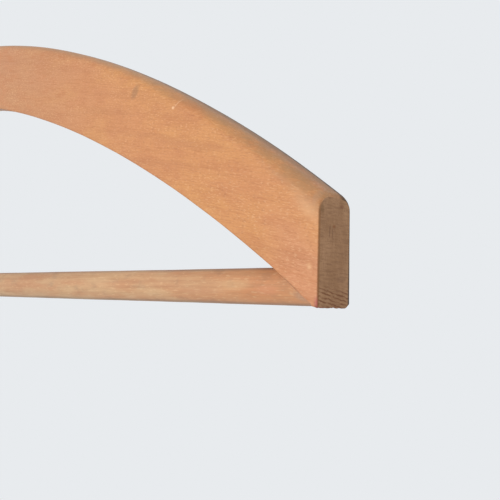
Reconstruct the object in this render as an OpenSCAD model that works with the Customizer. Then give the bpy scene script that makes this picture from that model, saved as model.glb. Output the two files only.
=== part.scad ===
// Bow-shaped beech clothes hanger with a round trouser bar and a swivelling wire hook.
// +X runs along the hanger to its right end, +Y points to its back and +Z is up.
// The origin is the centre of the hook's bend, where the middle of a clothes rail lies.

/* [Body] */
// Length of the wooden body from end to end
hanger_length = 450; // [420:5:470]
// Thickness of the arms from front to back
arm_thickness = 12; // [11.5:0.5:14]
// Radius that rounds the two top edges of the arms
shoulder_round = 4.8; // [2:0.2:5.4]
// Height of the flat face at each end
end_height = 28.5; // [26:0.25:31]

/* [Upper edge] */
// Radius of the upper edge of each arm
edge_radius = 546; // [520:2:600]
// Slope, in degrees, at which the two upper edges meet at the crest
crest_slope = 8; // [6:0.5:10]

/* [Lower edge] */
// Radius of the long arch under each arm
arch_radius = 600; // [580:5:640]
// Radius of the arch below the hook
arch_crown_radius = 100; // [60:5:140]
// Slope, in degrees, at which the arch reaches the toe
toe_slope = 32.6; // [31:0.1:34]
// Length of the flat under each toe
toe_flat = 2.4; // [1:0.2:5]

/* [Glued joint] */
// Number of fingers across the height of the joint
joint_fingers = 4; // [2:1:6]
// Length of each finger
finger_length = 8; // [4:0.5:12]

/* [Trouser bar] */
// Diameter of the bar
bar_diameter = 10; // [8:0.5:10]
// Height of the bar's axis above the toe
bar_height = 5.45; // [5.45:0.05:8]
// Wood left between the end of the bar and the end of the arm
bar_end_wall = 2.6; // [2.5:0.1:8]
// Diameter of the brad that pins each end of the bar
brad_diameter = 1.4; // [1:0.1:1.8]

/* [Hook] */
// Diameter of the hook's wire
wire_diameter = 4; // [3:0.1:4.4]
// Clear width inside the bend, for the rail
hook_opening = 40; // [34:1:50]
// Radius at which the neck turns into the bend
neck_radius = 10; // [7:0.5:14]
// Straight shank between the crest and the neck
shank_height = 18; // [12:0.5:30]
// Slope, in degrees below level, at which the tip stops
tip_slope = 20; // [0:1:30]

/* [Hidden] */
$fn = 96;

running_gap = 0.05;            // radial, around the hook's shank
glue_gap = 0.02;               // radial, around the bar and the brads
over = 1;                      // how far a cutter passes a face

half_length = hanger_length / 2;
wire_r = wire_diameter / 2;
bend_r = hook_opening / 2 + wire_r;
neck_turn = acos(neck_radius / (bend_r + neck_radius));
neck_z = -(bend_r + neck_radius) * sin(neck_turn);
crest_z = neck_z - shank_height;

// Upper edge: one arc down each arm from the crest.
edge_centre = [-edge_radius * sin(crest_slope), crest_z - edge_radius * cos(crest_slope)];
end_slope = asin((half_length - edge_centre.x) / edge_radius);
end_top_z = edge_centre.y + edge_radius * cos(end_slope);
toe_z = end_top_z - end_height;

// Lower edge: one long arc up from each toe, and a tighter one that joins them.
arch_centre = [half_length - arch_radius * sin(toe_slope), toe_z - arch_radius * cos(toe_slope)];
crown_slope = asin(-arch_centre.x / (arch_radius - arch_crown_radius));
crown_x = arch_crown_radius * sin(crown_slope);
crown_centre_z = arch_centre.y + (arch_radius - arch_crown_radius) * cos(crown_slope);
crown_z = crown_centre_z + arch_crown_radius;

// Fittings at the middle
flange_d = 10.4;               // ferrule
flange_h = 1.6;
flange_bevel = 0.6;
seat_depth = 0.8;              // flat cut across the crest for the flange
spigot_d = 7;
spigot_h = 9;
washer_d = 8.6;
washer_h = 1;
pocket_d = 9.2;                // pocket in the underside for the washer and head
pocket_h = 4.6;
head_d = 7;                    // riveted end of the shank
head_h = 2;
head_bevel = 0.8;
washer_top_z = crown_z + pocket_h;
washer_gap = 0.1;
hook_hole_d = 5;
swell = 0.03;                  // added to the wire's radius where its bends meet and at its tip
swell_gap = 0.3;               // degrees short of that swelling at which each bend stops

// Trouser bar and brads
bar_z = toe_z + bar_height;
bar_half = half_length - bar_end_wall;
brad_x = half_length - 7;
brad_z = toe_z + 7;
brad_length = 9;
brad_head_d = 2.6;
brad_head_h = 0.8;
brad_sunk = 0.3;               // below the back face

wood = "#C8895A";
bar_wood = "#CDA27A";
steel = "#B4B6B8";
nickel = "#C2BEB4";

// Half of a disc's cross-section: flat faces, and a rim rounded to both of them.
module edge_section() {
    square([edge_radius - shoulder_round, arm_thickness / 2]);
    square([edge_radius, arm_thickness / 2 - shoulder_round]);
    translate([edge_radius - shoulder_round, arm_thickness / 2 - shoulder_round])
        circle(shoulder_round, $fn = 64);
}

// A disc whose rim is the upper edge of the right arm, carried past the crest.
module edge_disc() {
    translate([edge_centre.x, 0, edge_centre.y])
        rotate([90, 0, 0])
            rotate_extrude($fn = 1440) {
                edge_section();
                mirror([0, 1])
                    edge_section();
            }
}

// A flat shape in X and Z made into a cutter that passes both faces of the arms.
module through_arms() {
    rotate([90, 0, 0])
        linear_extrude(arm_thickness + 2 * over, center = true)
            children();
}

// Everything below the lower edge, between the two toes.
module arch_space() {
    reach = crown_z - toe_z + 2 * over;
    through_arms() {
        for (side = [0, 1])
            mirror([side, 0])
                intersection() {
                    translate(arch_centre)
                        circle(arch_radius, $fn = 1440);
                    translate([crown_x, toe_z - over])
                        square([half_length - toe_flat - crown_x, reach]);
                }
        intersection() {
            translate([0, crown_centre_z])
                circle(arch_crown_radius, $fn = 720);
            translate([-crown_x, toe_z - over])
                square([2 * crown_x, reach]);
        }
    }
}

// A bored seat at the middle for the ferrule, the shank, the washer and the riveted head.
module hook_seat() {
    translate([0, 0, crest_z - seat_depth])
        cylinder(d = flange_d + 2 * glue_gap, h = flange_h + over);
    translate([0, 0, crest_z - seat_depth - spigot_h])
        cylinder(d = spigot_d + 2 * glue_gap, h = spigot_h + over);
    translate([0, 0, crown_z - over])
        cylinder(d = hook_hole_d, h = crest_z - crown_z);
    translate([0, 0, crown_z - over])
        cylinder(d = pocket_d, h = pocket_h + over);
}

// A brad as a shape of revolution, with its head at the back; grow widens it into its hole.
module brad_shape(grow) {
    translate([brad_x, arm_thickness / 2 - brad_sunk, brad_z])
        rotate([90, 0, 0]) {
            cylinder(d = brad_diameter + 2 * grow, h = brad_length + grow);
            cylinder(d = brad_head_d + 2 * grow, h = brad_head_h + grow);
        }
}

// The hole that sinks a brad below the back face.
module brad_hole() {
    brad_shape(glue_gap);
    translate([brad_x, arm_thickness / 2 + over, brad_z])
        rotate([90, 0, 0])
            cylinder(d = brad_head_d + 2 * glue_gap, h = over + brad_sunk);
}

// Both arms in one piece, with the bores that they need.
module bow() {
    difference() {
        intersection() {
            edge_disc();
            mirror([1, 0, 0])
                edge_disc();
            translate([-half_length, -arm_thickness, toe_z])
                cube([hanger_length, 2 * arm_thickness, crest_z - toe_z + over]);
        }
        arch_space();
        hook_seat();
        for (side = [0, 1])
            mirror([side, 0, 0]) {
                bar_socket();
                brad_hole();
            }
    }
}

// The blind hole in the right arm that the bar is glued into.
module bar_socket() {
    mouth_x = half_length - 30;
    translate([mouth_x, 0, bar_z])
        rotate([0, 90, 0])
            cylinder(d = bar_diameter + 2 * glue_gap, h = bar_half + glue_gap - mouth_x);
}

// The side of the glued finger joint that belongs to the right arm.
module right_of_joint() {
    pitch = (crest_z - crown_z) / joint_fingers;
    fingers = [for (k = [-1 : 2 * joint_fingers + 1])
        [(k % 2 == 0 ? 1 : -1) * finger_length / 2, crown_z + k * pitch / 2]];
    outer_x = half_length + over;
    through_arms()
        polygon(concat(fingers, [[outer_x, crest_z + pitch], [outer_x, toe_z - over],
                                 [finger_length, toe_z - over]]));
}

module right_arm() {
    color(wood)
        intersection() {
            bow();
            right_of_joint();
        }
}

module left_arm() {
    color(wood)
        difference() {
            bow();
            right_of_joint();
        }
}

module trouser_bar() {
    color(bar_wood)
        difference() {
            translate([-bar_half, 0, bar_z])
                rotate([0, 90, 0])
                    cylinder(d = bar_diameter, h = 2 * bar_half);
            brad_hole();
            mirror([1, 0, 0])
                brad_hole();
        }
}

module right_brad() {
    color(steel)
        brad_shape(0);
}

module left_brad() {
    color(steel)
        mirror([1, 0, 0])
            brad_shape(0);
}

// One bent stretch of the hook's wire, in the XZ plane, from one angle to another.
module bent_wire(centre, radius, from, to) {
    translate([centre.x, 0, centre.y])
        rotate([90, 0, 0])
            rotate_extrude(start = from, angle = to - from, $fn = 180)
                translate([radius, 0])
                    circle(wire_r, $fn = 48);
}

// The wire swells very slightly where its two bends meet and at its rounded tip.
module hook() {
    head_top_z = washer_top_z - washer_h - washer_gap;
    color(steel) {
        translate([0, 0, neck_z])
            mirror([0, 0, 1])
                cylinder(r = wire_r, h = neck_z - head_top_z + head_h / 2, $fn = 48);
        translate([0, 0, head_top_z - head_h + head_bevel])
            cylinder(d = head_d, h = head_h - head_bevel);
        translate([0, 0, head_top_z - head_h])
            cylinder(d1 = head_d - 2 * head_bevel, d2 = head_d, h = head_bevel);
        bent_wire([-neck_radius, neck_z], neck_radius, 0, neck_turn - swell_gap);
        bent_wire([0, 0], bend_r, -tip_slope, 180 + neck_turn - swell_gap);
        for (point = [-[cos(neck_turn), 0, sin(neck_turn)], [cos(tip_slope), 0, -sin(tip_slope)]])
            translate(bend_r * point)
                sphere(wire_r + swell, $fn = 64);
    }
}

module hook_ferrule() {
    flange_z = crest_z - seat_depth;
    color(nickel)
        difference() {
            union() {
                translate([0, 0, flange_z - spigot_h])
                    cylinder(d = spigot_d, h = spigot_h + flange_h / 2);
                translate([0, 0, flange_z])
                    cylinder(d = flange_d, h = flange_h - flange_bevel);
                translate([0, 0, flange_z + flange_h - flange_bevel])
                    cylinder(d1 = flange_d, d2 = flange_d - 2 * flange_bevel, h = flange_bevel);
            }
            translate([0, 0, flange_z - spigot_h - over])
                cylinder(r = wire_r + running_gap, h = spigot_h + flange_h + 2 * over);
        }
}

module hook_washer() {
    color(nickel)
        difference() {
            translate([0, 0, washer_top_z - washer_h])
                cylinder(d = washer_d, h = washer_h);
            translate([0, 0, washer_top_z - washer_h - over])
                cylinder(r = wire_r + running_gap, h = washer_h + 2 * over);
        }
}

left_arm();
right_arm();
trouser_bar();
left_brad();
right_brad();
hook();
hook_ferrule();
hook_washer();
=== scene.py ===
"""Looks for a bow-shaped beech clothes hanger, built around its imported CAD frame.

The two arms, the trouser bar, the hook and its small fittings are rebuilt as fine meshes in
the places that the frame gives, dressed in procedural finishes and set in a plain studio.
Lengths are in metres unless a name ends in _mm.
"""

import logging
import math
from dataclasses import dataclass, field
from enum import Enum

import bpy
import numpy as np
from mathutils import Matrix, Vector, noise

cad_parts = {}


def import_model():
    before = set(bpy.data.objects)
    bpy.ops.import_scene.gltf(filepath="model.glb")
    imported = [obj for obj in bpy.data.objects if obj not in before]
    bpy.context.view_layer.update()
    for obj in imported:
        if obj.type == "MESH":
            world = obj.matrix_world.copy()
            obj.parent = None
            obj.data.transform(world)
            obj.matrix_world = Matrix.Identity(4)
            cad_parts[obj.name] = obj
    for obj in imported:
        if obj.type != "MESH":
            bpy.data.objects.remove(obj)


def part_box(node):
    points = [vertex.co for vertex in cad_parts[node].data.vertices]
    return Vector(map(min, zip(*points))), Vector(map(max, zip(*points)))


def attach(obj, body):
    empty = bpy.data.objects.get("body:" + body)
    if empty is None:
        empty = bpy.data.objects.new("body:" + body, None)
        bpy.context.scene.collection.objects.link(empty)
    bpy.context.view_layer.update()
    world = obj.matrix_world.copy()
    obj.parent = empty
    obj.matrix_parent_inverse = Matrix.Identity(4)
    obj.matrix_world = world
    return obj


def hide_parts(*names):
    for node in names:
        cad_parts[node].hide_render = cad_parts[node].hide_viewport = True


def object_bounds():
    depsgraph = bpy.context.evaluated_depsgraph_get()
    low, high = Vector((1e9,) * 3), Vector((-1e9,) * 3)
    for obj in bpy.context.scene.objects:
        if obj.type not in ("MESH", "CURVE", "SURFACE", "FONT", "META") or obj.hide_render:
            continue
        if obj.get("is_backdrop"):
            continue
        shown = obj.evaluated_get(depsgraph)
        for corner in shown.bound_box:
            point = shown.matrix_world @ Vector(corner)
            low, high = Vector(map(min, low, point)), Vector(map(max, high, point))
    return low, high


LOG = logging.getLogger("hanger")
MM = 0.001
WOODEN_BODY = "wooden_body"
HOOK_BODY = "hook"
ARRIS_ANGLES = (math.radians(-90), math.radians(-60), math.radians(-30))


class Side(Enum):
    """Which end of the hanger a piece belongs to, as its sign along X."""

    LEFT = -1
    RIGHT = 1


class ArmFace(Enum):
    """Material slot of each kind of face on an arm."""

    LONG_GRAIN = 0
    END_GRAIN = 1


# --------------------------------------------------------------------------- colour and nodes


def linear(hex_colour: str) -> tuple[float, float, float, float]:
    """Turns an sRGB hex colour into the linear RGBA that Blender's sockets take.

    Args:
        hex_colour: Six hex digits, with or without a leading #.

    Returns:
        Linear red, green and blue, and an alpha of 1.
    """
    digits = hex_colour.lstrip("#")
    channels = []
    for start in (0, 2, 4):
        value = int(digits[start : start + 2], 16) / 255
        channels.append(value / 12.92 if value <= 0.04045 else ((value + 0.055) / 1.055) ** 2.4)
    return (channels[0], channels[1], channels[2], 1.0)


def add_node(
    tree: bpy.types.NodeTree,
    kind: str,
    inputs: dict[str | int, object] | None = None,
    **settings: object,
) -> bpy.types.Node:
    """Adds one node, sets its properties and fills or links its inputs.

    Args:
        tree: The node tree that gets the node.
        kind: The node's type name, such as "ShaderNodeMix".
        inputs: For each socket name or index, a value or the output socket to link from.
        **settings: Properties to set on the node itself.

    Returns:
        The new node.
    """
    node = tree.nodes.new(kind)
    for name, value in settings.items():
        setattr(node, name, value)
    for key, value in (inputs or {}).items():
        socket = node.inputs[key]
        if isinstance(value, bpy.types.NodeSocket):
            tree.links.new(value, socket)
        else:
            socket.default_value = value
    return node


@dataclass(frozen=True)
class NodeKind:
    """A kind of shader node: its type, the sockets to fill in order and the output to use."""

    type_name: str
    sockets: tuple[str | int, ...]
    output: str | int
    settings: dict[str, str] = field(default_factory=dict)
    fixed: dict[str, float] = field(default_factory=dict)


class Node(Enum):
    """The nodes that the finishes are made of."""

    # Smooth noise in cells of one unit: coordinates, finer octaves, their strength, distortion.
    NOISE = NodeKind(
        "ShaderNodeTexNoise", ("Vector", "Detail", "Roughness", "Distortion"), "Fac", fixed={"Scale": 1.0}
    )
    # A smooth step: value, where it starts and ends, and what it goes from and to.
    RAMP = NodeKind(
        "ShaderNodeMapRange",
        ("Value", "From Min", "From Max", "To Min", "To Max"),
        "Result",
        {"interpolation_type": "SMOOTHSTEP"},
    )
    # Two colours: the share of the second, the first and the second.
    MIX = NodeKind("ShaderNodeMix", (0, 6, 7), 2, {"data_type": "RGBA"})
    MULTIPLY = NodeKind("ShaderNodeMath", (0, 1), "Value", {"operation": "MULTIPLY"})
    ADD = NodeKind("ShaderNodeMath", (0, 1), "Value", {"operation": "ADD"})
    SUBTRACT = NodeKind("ShaderNodeMath", (0, 1), "Value", {"operation": "SUBTRACT"})
    SINE = NodeKind("ShaderNodeMath", (0,), "Value", {"operation": "SINE"})
    # A mask that the mesh carries at its points.
    MASK = NodeKind("ShaderNodeAttribute", (), "Fac")
    # Relief: height, depth in metres, and the relief under it if there is one.
    BUMP = NodeKind("ShaderNodeBump", ("Height", "Distance", "Normal"), "Normal", fixed={"Strength": 1.0})


class Surface:
    """A material's node tree, with the few operations that every finish here needs."""

    def __init__(self, name: str) -> None:
        """Makes an empty material with an output and a Principled shader.

        Args:
            name: The material's name.
        """
        self.material = bpy.data.materials.new(name)
        self.material.use_nodes = True
        self.tree = self.material.node_tree
        self.tree.nodes.clear()
        self.shader = add_node(self.tree, "ShaderNodeBsdfPrincipled")
        add_node(self.tree, "ShaderNodeOutputMaterial", {"Surface": self.shader.outputs["BSDF"]})
        self.place = add_node(self.tree, "ShaderNodeTexCoord").outputs["Object"]

    def stretched(
        self,
        size_mm: tuple[float, float, float],
        turn: tuple[float, float, float] = (0, 0, 0),
        shift_mm: tuple[float, float, float] = (0, 0, 0),
        source: bpy.types.NodeSocket | None = None,
    ) -> bpy.types.NodeSocket:
        """Object coordinates in which one unit is a cell of the given size.

        Args:
            size_mm: Cell size along each turned axis.
            turn: Euler angles in degrees that line the X axis up with the grain.
            shift_mm: Offset, so that two pieces don't share one pattern.
            source: Coordinates to start from; object coordinates if left out.

        Returns:
            The vector socket.
        """
        turned = add_node(
            self.tree,
            "ShaderNodeMapping",
            {
                "Vector": source or self.place,
                "Location": tuple(v * MM for v in shift_mm),
                "Rotation": tuple(math.radians(a) for a in turn),
            },
        )
        scaled = add_node(
            self.tree,
            "ShaderNodeMapping",
            {"Vector": turned.outputs["Vector"], "Scale": tuple(1 / (s * MM) for s in size_mm)},
        )
        return scaled.outputs["Vector"]

    def add(self, node: Node, *values: object, **settings: object) -> bpy.types.NodeSocket:
        """Adds one of the nodes that the finishes use, with its sockets filled in order.

        Args:
            node: Which node.
            *values: A number, a socket or a hex colour for each socket that Node lists.
            **settings: Properties to set on the node itself.

        Returns:
            The output that Node names.
        """
        kind = node.value
        filled = [linear(value) if isinstance(value, str) else value for value in values]
        inputs = {**kind.fixed, **dict(zip(kind.sockets, filled))}
        return add_node(self.tree, kind.type_name, inputs, **kind.settings, **settings).outputs[kind.output]

    def stain(self, colour: bpy.types.NodeSocket, mark: "Mark") -> bpy.types.NodeSocket:
        """Lays one soft-edged mark over a colour.

        Args:
            colour: The colour so far.
            mark: The mark.

        Returns:
            The marked colour.
        """
        from_mark = add_node(
            self.tree, "ShaderNodeVectorMath", {0: self.place, 1: tuple(mark.place)}, operation="SUBTRACT"
        )
        shaped = self.stretched(mark.size_mm, (0, mark.turn, 0), source=from_mark.outputs[0])
        away = add_node(self.tree, "ShaderNodeVectorMath", {0: shaped}, operation="LENGTH")
        share = self.add(Node.RAMP, away.outputs["Value"], 0.35, 1.0, mark.strength, 0)
        return self.add(Node.MIX, share, colour, mark.colour)

    def finish(self, **sockets: object) -> bpy.types.Material:
        """Fills the shader's sockets and returns the material.

        Args:
            **sockets: Values or sockets, by the shader's socket name with _ for a space.

        Returns:
            The finished material.
        """
        for name, value in sockets.items():
            socket = self.shader.inputs[name.replace("_", " ")]
            if isinstance(value, bpy.types.NodeSocket):
                self.tree.links.new(value, socket)
            else:
                socket.default_value = value
        return self.material


# --------------------------------------------------------------------------- finishes


@dataclass(frozen=True)
class Mark:
    """One stain, scratch or knock: where it is, how big, and the colour it leaves."""

    place: Vector
    size_mm: tuple[float, float, float]
    colour: str
    strength: float
    turn: float = 0


@dataclass(frozen=True)
class AgedBeech:
    """Steamed beech, sanded and oiled long ago: orange-brown, satin, with short pale ray flecks."""

    name: str
    grain_turn: float
    shift_mm: tuple[float, float, float]
    ochre: str = "CE8C4E"
    pink: str = "CA854F"
    flush: str = "CC8862"
    ruddy: str = "BE7744"
    streak: str = "A9683C"
    # Painted shade toward the joint.
    dull: str = "B27C56"
    # Partly a painted highlight on the ray flecks.
    fleck: str = "E9B883"
    rubbed: str = "E6AE7B"
    # Painted shade over the rounded top.
    handled: str = "A57C52"
    # Dirt, with painted shade over the top and along the end's back rim.
    grime_and_shade: str = "47382C"
    # Also paints a shadow line at the bar and shade on the end face's edges.
    arris: str = "7A4A28"
    blush: str = "A8504A"

    def material(self, marks: list[Mark]) -> bpy.types.Material:
        """Builds the finish.

        Args:
            marks: Stains and knocks on this piece.

        Returns:
            The material.
        """
        s = Surface(self.name)
        turn = (0, self.grain_turn, 0)

        def cells(*size_mm: float) -> bpy.types.NodeSocket:
            """Coordinates stretched along this piece's grain."""
            return s.stretched(size_mm, turn, self.shift_mm)

        # Clouds 45 mm long and 16 mm across, where ochre wood runs into pinker wood.
        clouds = s.add(Node.NOISE, cells(45, 16, 16), 3, 0.6, 0.4)
        colour = s.add(Node.MIX, s.add(Node.RAMP, clouds, 0.32, 0.68), self.ochre, self.pink)
        colour = s.add(Node.MIX, s.add(Node.MASK, attribute_name="flushed"), colour, self.flush)
        # Painted shade: darker and duller toward the joint.
        colour = s.add(Node.MIX, s.add(Node.MASK, attribute_name="painted_far_shade"), colour, self.dull)
        # Blotches of uptake, 8 mm by 3.5 mm, where the oil went in unevenly.
        blotches = s.add(Node.NOISE, cells(8, 3.5, 3.5), 3, 0.6)
        colour = s.add(Node.MIX, s.add(Node.RAMP, blotches, 0.42, 0.70, 0, 0.55), colour, self.ruddy)
        # Growth rings met at a low angle: soft bands 5 mm wide.
        bands = s.add(Node.NOISE, cells(90, 5, 5), 2, 0.5, 0.3)
        colour = s.add(Node.MIX, s.add(Node.RAMP, bands, 0.5, 0.72, 0, 0.28), colour, self.streak)
        # Fibres: 7 mm long and 0.4 mm wide, drawn coarser than they are to show.
        fibres = s.add(Node.NOISE, cells(7, 0.4, 0.4), 3, 0.65)
        colour = s.add(Node.MIX, s.add(Node.RAMP, fibres, 0.42, 0.72, 0, 0.36), colour, self.streak)
        # Pores: dark dashes of 1.4 mm by 0.35 mm, also drawn coarse.
        pores = s.add(Node.RAMP, s.add(Node.NOISE, cells(1.4, 0.36, 0.36), 1), 0.55, 0.72)
        colour = s.add(Node.MIX, s.add(Node.MULTIPLY, pores, 0.42), colour, self.streak)
        # Ray flecks: 1.3 mm by 0.35 mm, paler and shinier than the wood round them; the paler colour is
        # partly their own and partly a painted highlight.
        flecks = s.add(Node.RAMP, s.add(Node.NOISE, cells(1.3, 0.36, 0.36), 1, 0.4), 0.53, 0.70)
        thick = s.add(Node.RAMP, s.add(Node.NOISE, cells(24, 10, 10), 2), 0.35, 0.65, 0.5, 1.0)
        fleck_mask = s.add(Node.MULTIPLY, flecks, thick)
        colour = s.add(Node.MIX, s.add(Node.MULTIPLY, fleck_mask, 0.27), colour, self.fleck)
        colour = s.add(Node.MIX, s.add(Node.MASK, attribute_name="bare"), colour, self.rubbed)
        # Painted shade: the rounded top is laid greyish and mottled, 9 mm by 2.2 mm, as the top gets less
        # light than the face.
        mottled = s.add(Node.RAMP, s.add(Node.NOISE, cells(9, 2.2, 2.2), 4, 0.7), 0.30, 0.64, 0.25, 1.0)
        handled = s.add(Node.MULTIPLY, s.add(Node.MASK, attribute_name="handled"), mottled)
        colour = s.add(Node.MIX, handled, colour, self.handled)
        # Dirt and painted shade lie darkest over the top and behind it, hardly broken up by the grain.
        broken = s.add(Node.RAMP, s.add(Node.NOISE, cells(14, 2.2, 2.2), 4, 0.7), 0.28, 0.66, 0.7, 1.0)
        grime_and_shade = s.add(Node.MULTIPLY, s.add(Node.MASK, attribute_name="grime_and_shade"), broken)
        colour = s.add(Node.MIX, grime_and_shade, colour, self.grime_and_shade)
        # Arrises: the oil is darker where the fibres were cut through; the same colour paints a shadow line
        # where the arris meets the bar, and shade along the end face's back edge and foot.
        colour = s.add(Node.MIX, s.add(Node.MASK, attribute_name="arris"), colour, self.arris)
        blush = s.add(Node.MULTIPLY, s.add(Node.MASK, attribute_name="blush"), 0.8)
        colour = s.add(Node.MIX, blush, colour, self.blush)
        for mark in marks:
            colour = s.stain(colour, mark)
        shine = s.add(Node.MULTIPLY, fleck_mask, 0.12)
        rough = s.add(Node.SUBTRACT, s.add(Node.RAMP, fibres, 0.3, 0.8, 0.46, 0.60), shine)
        raised = s.add(Node.BUMP, fibres, 0.04 * MM)
        relief = s.add(Node.BUMP, s.add(Node.NOISE, cells(9, 1.6, 1.6), 3), 0.05 * MM, raised)
        # The dirt and the painted shade also take the shine off.
        level = s.add(Node.SUBTRACT, 0.45, s.add(Node.MULTIPLY, grime_and_shade, 0.4))
        return s.finish(Base_Color=colour, Roughness=rough, Normal=relief, IOR=1.5, Specular_IOR_Level=level)


@dataclass(frozen=True)
class BeechEndGrain:
    """Beech sawn across and left bare: dark, thirsty end grain, with its rings near the toe."""

    name: str
    toe_z: float
    base: str = "976F4D"
    pale: str = "A87F5C"
    dark: str = "745036"
    ring: str = "734729"
    oiled_rim: str = "8A5A30"
    # Painted shade along the end face's back edge.
    back_rim_shade: str = "41342B"

    def material(self, marks: list[Mark]) -> bpy.types.Material:
        """Builds the finish.

        Args:
            marks: Stains on this piece.

        Returns:
            The material.
        """
        s = Surface(self.name)
        # The face lies in Y and Z. Clouds about 6 mm across.
        clouds = s.add(Node.NOISE, s.stretched((6, 3, 8)), 3, 0.6)
        colour = s.add(Node.MIX, s.add(Node.RAMP, clouds, 0.3, 0.7), self.base, self.pale)
        # Rays: faint lines across the thickness, 0.45 mm apart.
        rays = s.add(Node.NOISE, s.stretched((4, 3.5, 0.45)), 3, 0.65)
        colour = s.add(Node.MIX, s.add(Node.RAMP, rays, 0.42, 0.72, 0, 0.45), colour, self.dark)
        # Saw marks: short upright strokes, 0.5 mm apart and 3 mm tall.
        saw = s.add(Node.NOISE, s.stretched((1, 0.5, 3)), 2, 0.6)
        colour = s.add(Node.MIX, s.add(Node.RAMP, saw, 0.55, 0.75, 0, 0.30), colour, self.dark)
        # Vessels: dots of 0.25 mm, drawn about twice their real size.
        vessels = s.add(Node.RAMP, s.add(Node.NOISE, s.stretched((0.5, 0.45, 0.4)), 1), 0.58, 0.72)
        colour = s.add(Node.MIX, s.add(Node.MULTIPLY, vessels, 0.35), colour, self.dark)
        # Growth rings: lines 0.95 mm apart that fall toward the back, a little broken, near the toe.
        tilted = s.stretched((1, 9, 0.95), (13, 0, 0))
        wobble = s.add(Node.NOISE, s.stretched((2.2, 1.6, 1.6)), 3, 0.6)
        level = add_node(s.tree, "ShaderNodeSeparateXYZ", {0: tilted}).outputs["Z"]
        phase = s.add(Node.ADD, level, s.add(Node.MULTIPLY, wobble, 1.15))
        wave = s.add(Node.SINE, s.add(Node.MULTIPLY, phase, 2 * math.pi))
        dashes = s.add(Node.RAMP, s.add(Node.NOISE, s.stretched((1, 1.8, 0.7)), 2), 0.30, 0.56, 0.12, 1)
        rings = s.add(Node.MULTIPLY, s.add(Node.RAMP, wave, -0.1, 0.95), dashes)
        axes = add_node(s.tree, "ShaderNodeSeparateXYZ", {0: s.place}).outputs
        near_toe = s.add(Node.RAMP, axes["Z"], self.toe_z + 3.8 * MM, self.toe_z + 6.2 * MM, 0.95, 0.08)
        colour = s.add(Node.MIX, s.add(Node.MULTIPLY, rings, near_toe), colour, self.ring)
        # The rim: oil crept in from the front face, and along the back edge a dark painted shade is laid
        # where the rounded rim turns from the light.
        oiled = s.add(Node.RAMP, axes["Y"], -5.55 * MM, -5.05 * MM, 0.75, 0)
        colour = s.add(Node.MIX, oiled, colour, self.oiled_rim)
        worn = s.add(Node.RAMP, axes["Y"], 4.95 * MM, 5.3 * MM, 0, 0.9)
        colour = s.add(Node.MIX, worn, colour, self.back_rim_shade)
        for mark in marks:
            colour = s.stain(colour, mark)
        sawn = s.add(Node.BUMP, s.add(Node.ADD, rays, saw), 0.05 * MM)
        relief = s.add(Node.BUMP, s.add(Node.ADD, wave, vessels), 0.02 * MM, sawn)
        return s.finish(Base_Color=colour, Roughness=0.72, Normal=relief, IOR=1.5, Specular_IOR_Level=0.3)


@dataclass(frozen=True)
class BeechDowel:
    """Turned beech dowel, left bare and polished by cloth: paler than the arms and streaked."""

    name: str
    pale: str = "CDA276"
    warm: str = "C48D62"
    streak: str = "A3724D"
    fleck: str = "E3BE92"
    oiled: str = "C9814F"
    # Dirty blotches, and painted shade along the bar's top and bottom.
    grime_and_shade: str = "6B5744"

    def material(self, marks: list[Mark]) -> bpy.types.Material:
        """Builds the finish.

        Args:
            marks: Worn and stained patches on this piece, and a painted highlight.

        Returns:
            The material.
        """
        s = Surface(self.name)
        clouds = s.add(Node.NOISE, s.stretched((26, 5, 5)), 3, 0.6)
        colour = s.add(Node.MIX, s.add(Node.RAMP, clouds, 0.34, 0.66), self.pale, self.warm)
        # Oil from the arms crept along the dowel at both ends.
        colour = s.add(Node.MIX, s.add(Node.MASK, attribute_name="oiled"), colour, self.oiled)
        # Growth bands run the length of the dowel, about 1.6 mm apart.
        bands = s.add(Node.NOISE, s.stretched((110, 1.6, 1.6)), 2, 0.5, 0.2)
        colour = s.add(Node.MIX, s.add(Node.RAMP, bands, 0.46, 0.70, 0, 0.30), colour, self.streak)
        # Fibres: 9 mm by 0.35 mm, drawn coarser than they are.
        fibres = s.add(Node.NOISE, s.stretched((9, 0.35, 0.35)), 3, 0.65)
        colour = s.add(Node.MIX, s.add(Node.RAMP, fibres, 0.42, 0.72, 0, 0.32), colour, self.streak)
        flecks = s.add(Node.RAMP, s.add(Node.NOISE, s.stretched((2.4, 0.45, 0.45)), 1), 0.58, 0.72)
        colour = s.add(Node.MIX, s.add(Node.MULTIPLY, flecks, 0.30), colour, self.fleck)
        blotch = s.add(Node.RAMP, s.add(Node.NOISE, s.stretched((9, 4, 4)), 4, 0.6), 0.50, 0.72)
        colour = s.add(Node.MIX, s.add(Node.MULTIPLY, blotch, 0.22), colour, self.grime_and_shade)
        # Painted shade along the bar's top and bottom.
        colour = s.add(Node.MIX, s.add(Node.MASK, attribute_name="grime_and_shade"), colour, self.grime_and_shade)
        for mark in marks:
            colour = s.stain(colour, mark)
        uneven = s.add(Node.BUMP, s.add(Node.NOISE, s.stretched((20, 2, 2)), 3), 0.05 * MM)
        relief = s.add(Node.BUMP, fibres, 0.04 * MM, uneven)
        rough = s.add(Node.RAMP, fibres, 0.3, 0.8, 0.50, 0.64)
        return s.finish(Base_Color=colour, Roughness=rough, Normal=relief, IOR=1.5, Specular_IOR_Level=0.4)


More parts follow.
